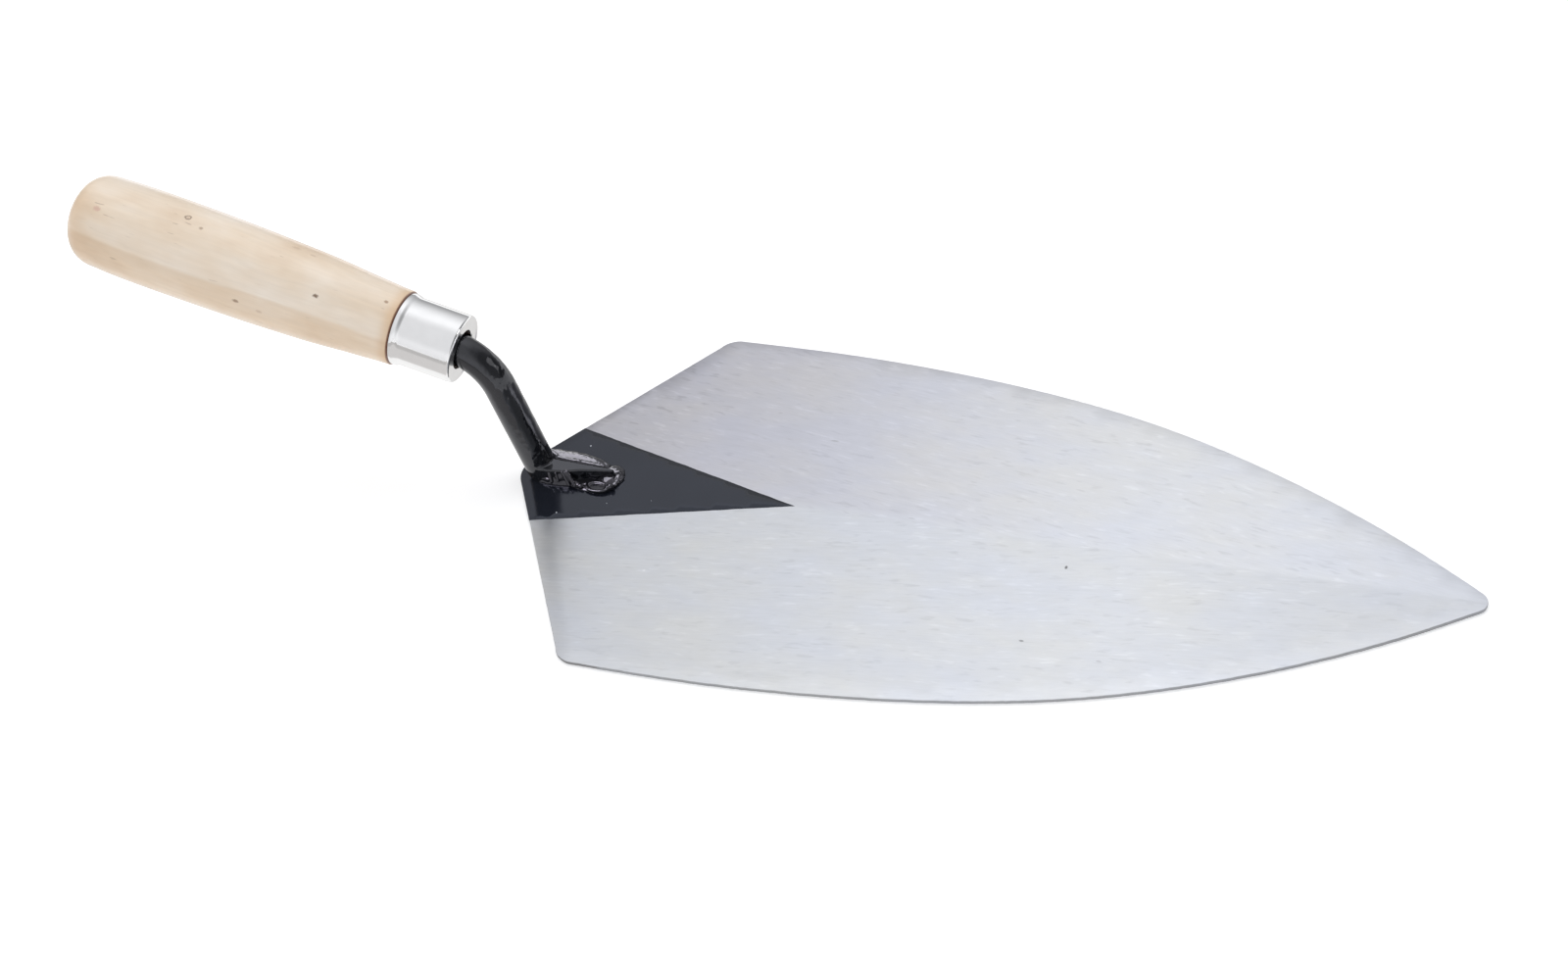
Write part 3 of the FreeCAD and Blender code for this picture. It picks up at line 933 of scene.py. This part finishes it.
def left_field(x, y, z):
    zt = z - TH
    # main run of metal, falling away from the foot
    f = ellipsoid(x, y, zt, (18.3, 3.8, 0.0), (13.2, 4.3, 4.6), -3.5)
    # ridge that laps on to the foot, and the crest behind it
    f = smin(f, capsule(x, y, zt, (12.6, 1.75, 4.72), (21.0, 1.45, 4.30), 0.85, 0.78), 0.9)
    f = smin(f, capsule(x, y, zt, (21.0, 1.45, 4.30), (28.8, 1.75, 3.5), 0.78, 0.60), 0.9)
    f = smin(f, capsule(x, y, zt, (9.4, 5.5, 3.4), (20.0, 5.0, 3.35), 0.72, 0.70), 0.5)
    f = smin(f, capsule(x, y, zt, (20.0, 5.0, 3.35), (29.4, 4.0, 2.0), 0.70, 0.55), 0.5)
    # start of the bead against the bar
    f = smin(f, capsule(x, y, zt, (11.2, 3.3, 4.9), (13.4, 2.2, 5.1), 1.0, 0.75), 0.4)
    f = smin(f, capsule(x, y, zt, (7.6, 6.4, 1.2), (12.0, 6.0, 2.4), 1.1, 1.2), 0.8)
    s = (x - 18.0) + 0.16 * (y - 4) ** 2
    f = f + 0.016 * np.cos(s * 2 * math.pi / 2.4 + 1.2 * vnoise(x * 0.4, y * 0.4, 0.5, 23)) * np.clip((x - 12.0) / 4, 0, 1)
    f = f + 0.9 * ripple(x, y, z, 21)
    f = np.maximum(f, -(zt + 0.03))
    return smax(f, 0.35 - y, 0.3)


def right_field(x, y, z):
    zt = z - TH
    # low fillet from the bar's foot to the toe
    f = ellipsoid(x, y, zt, (15.0, -3.3, 0.0), (8.0, 2.1, 1.7), 1.0)
    f = smin(f, ellipsoid(x, y, zt, (26.5, -3.2, 0.0), (7.2, 2.7, 0.75), 1.0), 0.4)
    # lip where the bead starts
    f = smin(f, capsule(x, y, zt, (7.6, -3.3, 1.0), (12.8, -4.45, 1.45), 0.70, 0.75), 0.35)
    # wide hump climbing the wall, with three ridges
    f = smin(f, ellipsoid(x, y, zt, (16.6, -3.1, 1.2), (3.6, 1.5, 2.9)), 0.5)
    f = smin(f, capsule(x, y, zt, (13.4, -3.9, 3.9), (14.0, -5.0, 1.3), 0.62, 0.55), 0.22)
    f = smin(f, capsule(x, y, zt, (15.6, -3.9, 4.1), (16.3, -5.0, 1.7), 0.42, 0.36), 0.25)
    f = smin(f, capsule(x, y, zt, (17.6, -3.4, 4.3), (20.0, -5.3, 1.0), 0.60, 0.50), 0.36)
    f = smin(f, capsule(x, y, zt, (19.0, -3.0, 4.2), (21.8, -5.3, 0.9), 0.66, 0.55), 0.36)
    # metal behind the ridges, so that none stands free of the wall
    f = smin(f, capsule(x, y, zt, (14.0, -3.1, 3.1), (14.3, -3.7, 1.2), 1.0, 1.0), 0.45)
    f = smin(f, capsule(x, y, zt, (18.3, -2.7, 3.6), (19.6, -3.8, 1.1), 1.0, 1.0), 0.45)
    # second puddle: raised rim and flat floor
    ring_r = np.sqrt(((x - 28.7) / 1.85) ** 2 + (y + 4.35) ** 2)
    rim = np.sqrt((ring_r - 1.85) ** 2 + (zt - 0.95) ** 2) - 0.42
    f = smin(f, rim, 0.25)
    f = smin(f, smax(ring_r - 1.9, zt - 0.98, 0.15), 0.15)
    f = smin(f, ellipsoid(x, y, zt, (23.6, -5.1, 0.95), (0.95, 0.75, 0.85)), 0.36)
    f = smin(f, ellipsoid(x, y, zt, (33.0, -3.7, 1.15), (1.05, 1.0, 1.2)), 0.25)
    f = smin(f, ellipsoid(x, y, zt, (32.2, -4.5, 1.1), (0.6, 0.6, 0.8)), 0.2)
    # pocket between the second ridge and the puddle
    f = smax(f, -(ellipsoid(x, y, zt, (24.4, -4.0, 1.7), (1.3, 0.8, 1.1))), 0.5)
    f = f + ripple(x, y, z, 31) * np.clip((25.5 - x) / 3.0, 0.35, 1.0)
    return np.maximum(np.maximum(f, -(zt + 0.03)), y + 0.2)


def toe_field(x, y, z):
    zt = z - TH
    f = ellipsoid(x, y, zt, (30.9, 1.2, 0.0), (4.2, 5.0, 2.3))
    f = smin(f, capsule(x, y, zt, (33.6, -2.4, 0.55), (34.6, 1.0, 0.45), 0.62, 0.6), 0.35)
    f = smin(f, capsule(x, y, zt, (34.6, 1.0, 0.45), (33.4, 4.2, 0.5), 0.6, 0.7), 0.35)
    f = smin(f, ellipsoid(x, y, zt, (33.3, 2.2, 1.3), (0.8, 0.9, 0.9)), 0.3)
    f = smax(f, -(capsule(x, y, zt, (33.4, -0.6, 1.9), (33.3, 1.0, 2.1), 0.55)), 0.3)
    f = f + ripple(x, y, z, 41)
    return np.maximum(np.maximum(f, -(zt + 0.03)), 27.5 - x)


RIGHT_H = 0.170


def build_welds():
    out = []
    for name, fn, lo, hi in (
            ("weld_left_bead", left_field, (4.0, -0.2, TH - 0.3), (32.5, 11.0, TH + 6.2)),
            ("weld_right_bead", right_field, (5.5, -7.4, TH - 0.3), (35.5, 0.2, TH + 5.8)),
            ("weld_toe_bead", toe_field, (27.0, -4.8, TH - 0.3), (36.3, 7.2, TH + 3.6))):
        P, Q = surface_nets(fn, lo, hi, 0.17 if fn is not right_field else RIGHT_H)
        out.append(mesh_object(name, P, Q))
    return out


# ---------------------------------------------------------------------------
# ferrule and handle
# ---------------------------------------------------------------------------
def build_ferrule():
    L, R, F, w, s, h, g = FER_L, FER_R, FER_F, FER_W, FER_SHO * 0.6, FER_HOLE, FER_DISH
    ri = R - w
    p = arc_pts((0.45, F - 0.45), 0.45, math.pi, math.pi / 2, 6)
    p += [(0.9, F)]
    for i in range(1, 13):
        t = i / 12.0
        k = t * t * (3 - 2 * t)
        p.append((0.9 + 2.0 * t, F + (R - F) * k))
    for a in np.arange(3.6, L - s - 0.3, 0.7):
        p.append((float(a), R))
    p += arc_pts((L - s, R - s), s, math.pi / 2, 0, 9)
    # rolled front edge, then the slightly dished end
    g = 0.45 * g
    p += [(L - 0.02, R - s - 0.18), (L - 0.07, R - s - 0.36), (L - 0.14, R - s - 0.53), (L - g, R - s - 0.72)]
    p += [(L - g - 0.03, r) for r in np.linspace(R - s - 1.1, h + 0.9, 5)]
    p += arc_pts((L - g - 0.3, h + 0.3), 0.3, 0, -math.pi / 2, 4)
    p += [(L - g - w, h), (L - g - w, ri - 0.9)]
    p += arc_pts((L - g - w - 0.9, ri - 0.9), 0.9, 0, math.pi / 2, 5)[1:]
    p += [(0.0, ri)]

    def wob(a, t, r):
        if r < R - 0.9:
            return 0.0
        return (0.018 * float(vnoise(np.array(math.cos(t) * 1.6), np.array(math.sin(t) * 1.6), np.array(a * 0.18), 51))
                + 0.006 * math.cos(2 * t + 0.6))
    return lathe("ferrule_drawn", p, 288, True, wob, sharp=50)


def build_handle():
    ri = FER_R - FER_W
    bore = [(-66.03, 0.0), (-66.03, 0.85), (-64.0, 2.44), (-50.0, 3.04), (-36.0, 3.64),
            (-22.0, 4.23), (-8.0, BAR_R + 0.03), (0.0, BAR_R + 0.03), (TENON - 0.3, BAR_R + 0.03), (TENON, BAR_R + 0.3)]
    p = bore + [(TENON, ri - 0.55), (TENON - 0.5, ri - 0.03), (6.0, ri - 0.03), (-0.02, ri - 0.03), (-0.02, WOOD[0][1] - 0.42),
                (-0.16, WOOD[0][1] - 0.18)]
    c = cubic(WOOD, 12)
    p += [(-float(t), float(r)) for t, r in c]
    tb, rb = WOOD[-1]
    n = 26
    for i in range(1, n + 1):
        u = math.pi / 2 * i / n
        a = tb + (HAND_L - 1.15 - tb) * math.sin(u) ** (2 / 2.75)
        r = rb * max(math.cos(u), 0.0) ** (2 / 2.75)
        p.append((-a, r if i < n else 0.0))

    def wob(a, t, r):
        if a > -0.6 or r < 5.0:
            return 0.0
        k = min(1.0, -a / 6.0)
        return k * 0.05 * float(vnoise(np.array(math.cos(t) * 1.3 + 3), np.array(math.sin(t) * 1.3), np.array(a * 0.05), 61)) - 0.03 * k
    return lathe("handle_turned", p, 200, False, wob, sharp=50)


# ---------------------------------------------------------------------------
# build, dress, register
# ---------------------------------------------------------------------------
blade = build_blade()
paint = build_paint()
shank = build_shank()
weld_l, weld_r, weld_t = build_welds()
ferrule = build_ferrule()
handle = build_handle()


def dress(o, mat):
    o.data.materials.clear()
    o.data.materials.append(mat)


KNOTS = [
    # u, v, w, radius, ring, length ratio, colour, strength (handle frame, mm)
    (67.8, -0.7, 14.3, 0.74, True, 1.2, (0.20, 0.12, 0.07), 0.95),
    (67.8, -0.7, 14.3, 0.35, False, 1.2, (0.42, 0.27, 0.17), 0.6),
    (62.5, -2.8, 14.0, 0.55, False, 1.4, (0.36, 0.23, 0.14), 0.7),
    (93.4, -7.4, 11.9, 0.90, False, 1.5, (0.62, 0.36, 0.28), 0.6),
    (46.2, -13.8, 1.8, 0.62, False, 1.8, (0.28, 0.16, 0.09), 0.8),
    (23.2, -8.5, 9.6, 0.62, False, 1.5, (0.20, 0.12, 0.07), 0.95),
    (4.0, -2.8, 11.1, 0.55, False, 1.5, (0.34, 0.20, 0.11), 0.8),
    (35.6, 3.6, 13.0, 0.70, False, 2.2, (0.55, 0.40, 0.28), 0.5),
    (30.0, 3.0, 12.9, 0.55, False, 2.0, (0.55, 0.40, 0.28), 0.5),
    (38.9, -13.6, 0.7, 0.60, False, 1.8, (0.50, 0.34, 0.22), 0.5),
    (55.0, 9.5, -10.6, 0.8, False, 2.0, (0.40, 0.26, 0.16), 0.6),
    (80.0, 13.2, 5.6, 0.6, False, 1.8, (0.42, 0.28, 0.17), 0.6),
]
wm, wc, wu, wv, ww = mat_wood()
wc = spots(wm, wc, KNOTS, wu, wv, ww)
wm.link(wc, wm.b.inputs["Base Color"])
wm.set(IOR=1.48, Coat_Weight=0.55, Coat_Roughness=0.12)
_f = wm.noise(wm.comb(wm.math("MULTIPLY", wu, 0.08), wv, ww), 1100.0, 3.0, 0.55)
wm.link(wm.math("ADD", 0.34, wm.math("MULTIPLY", _f, 0.14)), wm.b.inputs["Roughness"])
_n = wm.math("ADD", _f, wm.math("MULTIPLY", wm.noise(wm.pos, 130.0, 2.0), 1.6))
wm.link(wm.bump(_n, 0.22, 0.00006), wm.b.inputs["Normal"])

steel = mat_blade()
enamel = mat_enamel("gloss_enamel", 0.08, (0.0042, 0.0048, 0.0062), (0.0060, 0.0066, 0.0084), 1.66, 0.22, (0.93, 0.94, 1.0))
lumpy = mat_enamel("weld_enamel", 0.15, (0.0042, 0.0047, 0.0064), (0.0062, 0.0066, 0.0090), 1.66, 0.20, (0.93, 0.91, 1.0))
film = mat_enamel("film_enamel", 0.14, (0.0068, 0.0083, 0.0130), (0.0092, 0.0108, 0.0165), 1.62, 0.12, (0.81, 0.86, 1.0))
# grit under the film
_x, _y, _z = film.xyz(film.pos)
_c = film.b.inputs["Base Color"].links[0].from_socket
for _sx, _sy, _r in ((18.8, 13.4, 0.34), (20.4, -16.2, 0.30), (34.0, -9.6, 0.16), (27.5, 6.5, 0.14), (47.0, -6.0, 0.15)):
    _d = film.vmath("LENGTH", film.comb(film.math("SUBTRACT", _x, (_sx + SX) / 1000.0),
                                        film.math("SUBTRACT", _y, _sy / 1000.0), 0.0))
    _c = film.mix(film.range(_d, _r * 0.0005, _r * 0.001, 0.9, 0.0, True), _c, (0.55, 0.58, 0.62))
film.link(_c, film.b.inputs["Base Color"])
nickel = mat_nickel()
dress(blade, steel)
dress(paint, film.m)
dress(shank, enamel.m)
for o in (weld_l, weld_r, weld_t):
    dress(o, lumpy.m)
dress(ferrule, nickel)
dress(handle, wm.m)

for o, node, slot in ((blade, "blade", "blade_steel"), (shank, "shank", "black_enamel"),
                      (weld_l, "weld_bead_left", "black_enamel"), (weld_r, "weld_bead_right", "black_enamel"),
                      (weld_t, "weld_bead_toe", "black_enamel"), (ferrule, "ferrule", "plated_steel"),
                      (handle, "handle", "lacquered_wood")):
    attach(o, "root")
    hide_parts(node)
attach(paint, "root")

# ---------------------------------------------------------------------------
# floor, light, camera
# ---------------------------------------------------------------------------
fm = Mat("pale_floor")
fn = fm.noise(fm.pos, 3.0, 3.0)
fm.link(fm.mix(fm.range(fn, 0.3, 0.7, 0.0, 1.0), (0.915, 0.915, 0.915), (0.925, 0.925, 0.925)), fm.b.inputs["Base Color"])
fm.set(Roughness=0.75, Emission_Color=(1.0, 1.0, 1.0, 1.0), Emission_Strength=0.26)
fbm = bmesh.new()
bmesh.ops.create_grid(fbm, x_segments=4, y_segments=4, size=4.0)
fme = bpy.data.meshes.new("floor")
fbm.to_mesh(fme)
fbm.free()
floor = bpy.data.objects.new("floor", fme)
floor.location = (0, 0, -0.0001)
fme.materials.append(fm.m)
COLL.objects.link(floor)

world = bpy.data.worlds.new("studio")
SCENE.world = world
world.use_nodes = True
wt = world.node_tree
wt.nodes.clear()
wo = wt.nodes.new("ShaderNodeOutputWorld")
bg = wt.nodes.new("ShaderNodeBackground")
tc = wt.nodes.new("ShaderNodeTexCoord")
sep = wt.nodes.new("ShaderNodeSeparateXYZ")
wt.links.new(tc.outputs["Generated"], sep.inputs[0])


def wramp(sock, stops):
    n = wt.nodes.new("ShaderNodeValToRGB")
    e = n.color_ramp.elements
    while len(e) < len(stops):
        e.new(0.5)
    for el, (p, c) in zip(e, stops):
        el.position = p
        el.color = (c * 0.99, c, c * 1.025, 1)
    wt.links.new(sock, n.inputs[0])
    return n.outputs[0]


# front half of the room is even; the back is dim near the floor and bright above
frontc = wramp(sep.outputs[2], [(0.0, 1.02), (0.24, 1.02), (0.46, 0.86), (0.60, 0.84), (1.0, 0.86)])
backc = wramp(sep.outputs[2], [(0.0, 0.44), (0.20, 0.47), (0.44, 0.68), (0.64, 0.90), (0.79, 1.06), (0.89, 1.15), (0.96, 1.15), (1.0, 0.98)])
mr = wt.nodes.new("ShaderNodeMapRange")
mr.interpolation_type = "SMOOTHSTEP"
wt.links.new(sep.outputs[1], mr.inputs[0])
for i, v in enumerate((-0.15, 0.15, 0.0, 1.0)):
    mr.inputs[1 + i].default_value = v
mx = wt.nodes.new("ShaderNodeMix")
mx.data_type = "RGBA"
wt.links.new(mr.outputs[0], mx.inputs[0])
wt.links.new(frontc, mx.inputs[6])
wt.links.new(backc, mx.inputs[7])
sx_ = wt.nodes.new("ShaderNodeMapRange")
sx_.interpolation_type = "SMOOTHSTEP"
wt.links.new(sep.outputs[0], sx_.inputs[0])
for i, v in enumerate((-0.62, -0.12, 0.74, 1.0)):
    sx_.inputs[1 + i].default_value = v
ml = wt.nodes.new("ShaderNodeMix")
ml.data_type = "RGBA"
ml.blend_type = "MULTIPLY"
ml.inputs[0].default_value = 1.0
wt.links.new(mx.outputs[2], ml.inputs[6])
wt.links.new(sx_.outputs[0], ml.inputs[7])
# the room is dark low on the side the blade points to
sd_ = wt.nodes.new("ShaderNodeMapRange")
sd_.interpolation_type = "SMOOTHSTEP"
wt.links.new(sep.outputs[0], sd_.inputs[0])
for i, v in enumerate((0.34, 0.78, 1.0, 0.28)):
    sd_.inputs[1 + i].default_value = v
md = wt.nodes.new("ShaderNodeMix")
md.data_type = "RGBA"
md.blend_type = "MULTIPLY"
md.inputs[0].default_value = 1.0
wt.links.new(ml.outputs[2], md.inputs[6])
wt.links.new(sd_.outputs[0], md.inputs[7])
wt.links.new(md.outputs[2], bg.inputs[0])
bg.inputs[1].default_value = 1.0
wt.links.new(bg.outputs[0], wo.inputs[0])


def area(name, loc, target, sx, sy, radiance, color=(1, 1, 1)):
    L = bpy.data.lights.new(name, "AREA")
    L.shape = "RECTANGLE"
    L.size, L.size_y = sx, sy
    L.energy = radiance * sx * sy * 4.0
    L.color = color
    o = bpy.data.objects.new(name, L)
    o.location = loc
    o.rotation_euler = (Vector(target) - Vector(loc)).to_track_quat("-Z", "Y").to_euler()
    COLL.objects.link(o)
    return o


fill_light = area("fill_top", (-0.15, 0.44, 0.92), (-0.15, 0.44, 0.0), 1.7, 0.92, 0.82)
fill_light.visible_glossy = False
key = area("side_window", (0.735, 0.215, 0.373), (-0.073, -0.001, 0.04), 0.24, 0.12, 6.0)
key.visible_diffuse = False
# low strip behind the weld, for the enamel only
strip = area("back_strip", (-0.56, 0.62, 0.22), (-0.055, 0.0, 0.005), 0.42, 0.20, 3.2)
strip.visible_diffuse = False
spark = area("bend_spark", (0.735, 0.215, 0.373), (-0.073, -0.001, 0.04), 0.075, 0.05, 9.0)
bar_window = area("bar_window", (0.735, 0.215, 0.373), (-0.073, -0.001, 0.04), 0.52, 0.30, 0.75)


def only_for(light, name, objs):
    c = bpy.data.collections.new(name)
    for q in objs:
        c.objects.link(q)
    light.light_linking.receiver_collection = c
    light.visible_diffuse = False


only_for(strip, "enamel_only", (shank, weld_l, weld_r, weld_t))
only_for(key, "all_but_bar", (blade, paint, ferrule, handle, weld_l, weld_r, weld_t))
only_for(spark, "bar_only", (shank,))
only_for(bar_window, "bar_only_soft", (shank,))
back_box = area("back_box", (-0.40, 0.40, 0.68), (-0.055, 0.0, 0.005), 0.82, 0.82, 3.9, (0.96, 0.95, 1.0))
foot_box = area("foot_box", (-0.40, 0.40, 0.68), (-0.055, 0.0, 0.005), 0.82, 0.82, 0.34, (0.84, 0.86, 1.0))
only_for(foot_box, "foot_only", (shank,))
only_for(back_box, "left_bead_only", (weld_l, weld_t))
side_box = area("side_box", (-0.455, -0.136, 0.64), (-0.055, 0.0, 0.005), 0.62, 0.54, 7.0, (0.94, 0.90, 1.0))
only_for(side_box, "right_bead_only", (weld_r,))
# a grey card on the floor that only shows in reflections, as the studio table does
cm = Mat("grey_card")
cy = cm.xyz(cm.pos)[1]
cn = cm.noise(cm.pos, 4.0)
cmc = cm.mix(cm.range(cy, -0.20, -0.15, 0.0, 1.0, True), (0.56, 0.55, 0.545), (0.71, 0.695, 0.69))
cmc = cm.mix(cm.range(cy, -0.040, -0.028, 0.0, 1.0, True), cmc, (1.05, 1.05, 1.05))
cmc = cm.mix(cm.range(cy, 0.006, 0.02, 0.0, 1.0, True), cmc, (0.80, 0.795, 0.79))
cm.link(cmc, cm.b.inputs["Emission Color"])
cm.link(cm.math("ADD", 0.98, cm.math("MULTIPLY", cn, 0.04)), cm.b.inputs["Emission Strength"])
cm.set(Base_Color=(0, 0, 0, 1), Roughness=1.0, Specular_IOR_Level=0.0)
cbm = bmesh.new()
bmesh.ops.create_grid(cbm, x_segments=6, y_segments=6, size=0.5)
for v in cbm.verts:
    v.co.x = -0.235 + v.co.x * 0.43
    v.co.y = -0.19 + v.co.y * 0.92
cme = bpy.data.meshes.new("grey_card")
cbm.to_mesh(cme)
cbm.free()
cme.materials.append(cm.m)
card = bpy.data.objects.new("grey_card", cme)
card.location = (0, 0, -0.00005)
for k in ("visible_camera", "visible_diffuse", "visible_shadow", "visible_transmission", "visible_volume_scatter"):
    setattr(card, k, False)
COLL.objects.link(card)

cam = bpy.data.cameras.new("camera")
co = bpy.data.objects.new("camera", cam)
RT = Matrix(((0.9370605551963838, 0.3222689585125667, -0.1343883710529693),
             (-0.12801793331971864, 0.6751771072360174, 0.7264621687417395),
             (0.3248521581328852, -0.6635349216458989, 0.6739380410043477))).transposed().to_4x4()
co.matrix_world = Matrix.Translation((0.18107884, -0.34695550, 0.35956129)) @ RT
cam.sensor_fit = "HORIZONTAL"
cam.sensor_width = 36.0
cam.lens = 41.7422
cam.clip_start = 0.01
cam.clip_end = 50
COLL.objects.link(co)
SCENE.camera = co
SCENE.view_settings.view_transform = "Standard"
